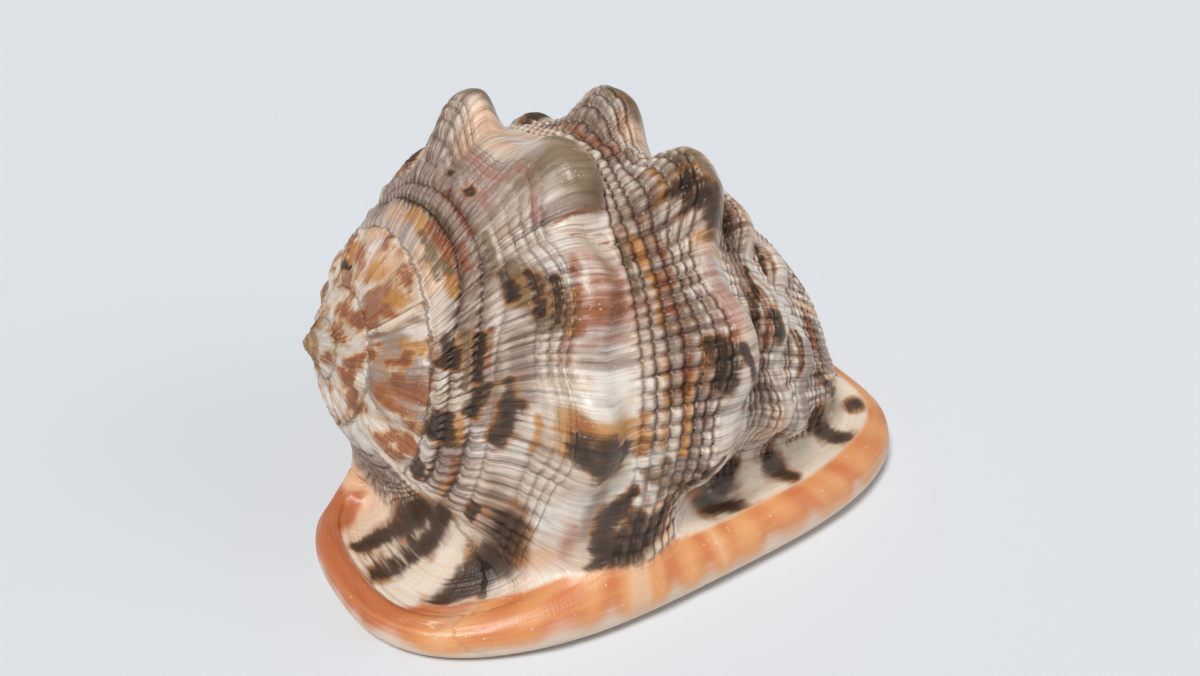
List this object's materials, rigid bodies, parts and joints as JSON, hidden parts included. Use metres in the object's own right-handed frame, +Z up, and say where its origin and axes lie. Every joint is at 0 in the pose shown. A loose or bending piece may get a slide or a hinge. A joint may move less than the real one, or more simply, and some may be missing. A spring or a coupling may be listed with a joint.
{
  "type": "bullmouth helmet shell",
  "caption": "Heavy sea snail shell with a low spire, rows of blunt knobs on a swollen last whorl, and a broad flared lip with a rolled rim that it lies on.",
  "frame": {"origin": "middle of the overall bounding box in plan, on the plane that the base rests on", "axes": "+X towards the front canal, away from the spire; -Y towards the outer lip; +Z up, away from the aperture"},
  "size_m": [0.1355, 0.1051, 0.0891],
  "materials": {
    "shell_layer": "glossy shell, mottled cream, tan, lavender grey and dark brown, with a salmon-orange rolled rim"
  },
  "bodies": {
    "root": {"helmet_shell": "shell_layer"}
  },
  "joints": []
}
